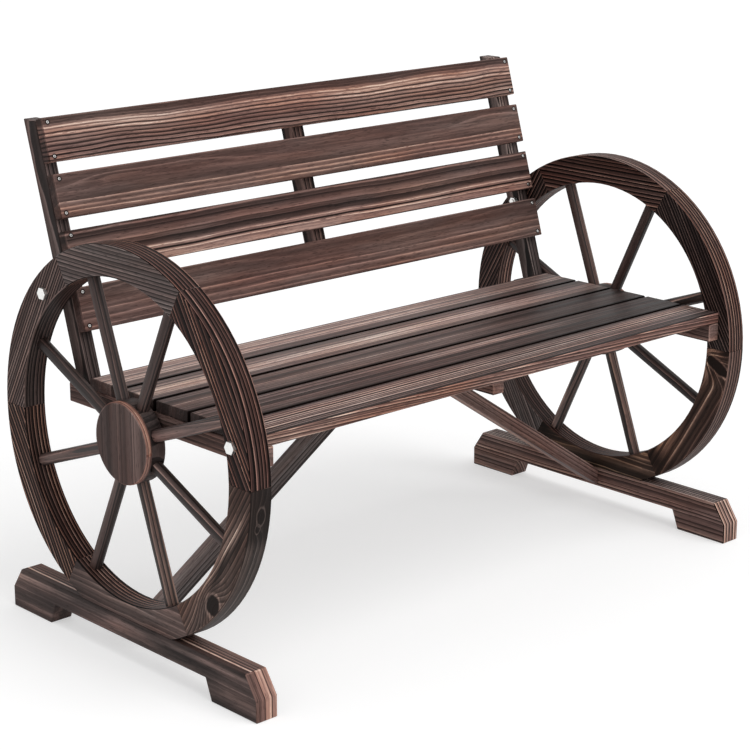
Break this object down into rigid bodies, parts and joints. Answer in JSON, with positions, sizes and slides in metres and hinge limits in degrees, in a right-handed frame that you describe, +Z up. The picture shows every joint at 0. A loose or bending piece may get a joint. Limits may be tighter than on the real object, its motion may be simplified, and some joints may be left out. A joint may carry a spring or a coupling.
{
  "type": "wagon wheel bench",
  "caption": "Slatted two-seat garden bench of charred timber with a leaning back, carried by spoked wagon wheels that stand in saddle-cut feet with slanting braces.",
  "frame": {"origin": "on the floor at the middle of the bench: midway between the wheels, and midway between the feet's front and rear ends", "axes": "+X along the seat to the viewer's right, -Y towards the front, +Z up"},
  "size_m": [1.0786, 0.591, 0.7741],
  "materials": {
    "rim_wood": "charred and brushed, satin",
    "spoke_wood": "charred and brushed, satin",
    "hub_wood": "charred and brushed, satin",
    "foot_wood": "charred and brushed, satin",
    "frame_wood": "charred and brushed, satin",
    "seat_wood": "charred and brushed, satin",
    "back_wood": "charred and brushed, satin",
    "zinc": "bright zinc plate"
  },
  "bodies": {
    "root": {"left_felloe_1": "rim_wood", "left_felloe_2": "rim_wood", "left_felloe_3": "rim_wood", "left_felloe_4": "rim_wood", "left_felloe_5": "rim_wood", "left_felloe_6": "rim_wood", "right_felloe_1": "rim_wood", "right_felloe_2": "rim_wood", "right_felloe_3": "rim_wood", "right_felloe_4": "rim_wood", "right_felloe_5": "rim_wood", "right_felloe_6": "rim_wood", "left_spoke_1": "spoke_wood", "left_spoke_2": "spoke_wood", "left_spoke_3": "spoke_wood", "left_spoke_4": "spoke_wood", "left_spoke_5": "spoke_wood", "left_spoke_6": "spoke_wood", "left_spoke_7": "spoke_wood", "left_spoke_8": "spoke_wood", "right_spoke_1": "spoke_wood", "right_spoke_2": "spoke_wood", "right_spoke_3": "spoke_wood", "right_spoke_4": "spoke_wood", "right_spoke_5": "spoke_wood", "right_spoke_6": "spoke_wood", "right_spoke_7": "spoke_wood", "right_spoke_8": "spoke_wood", "left_hub_drum": "hub_wood", "left_hub_cover": "hub_wood", "right_hub_drum": "hub_wood", "right_hub_cover": "hub_wood", "left_foot": "foot_wood", "right_foot": "foot_wood", "left_seat_rail": "frame_wood", "centre_seat_rail": "frame_wood", "right_seat_rail": "frame_wood", "left_back_post": "frame_wood", "centre_back_post": "frame_wood", "right_back_post": "frame_wood", "left_brace": "frame_wood", "right_brace": "frame_wood", "seat_slat_1": "seat_wood", "seat_slat_2": "seat_wood", "seat_slat_3": "seat_wood", "seat_slat_4": "seat_wood", "seat_slat_5": "seat_wood", "back_slat_1": "back_wood", "back_slat_2": "back_wood", "back_slat_3": "back_wood", "back_slat_4": "back_wood", "left_back_bolt": "zinc", "left_front_bolt": "zinc", "right_back_bolt": "zinc", "right_front_bolt": "zinc", "left_back_nut": "zinc", "right_back_nut": "zinc"}
  },
  "joints": []
}
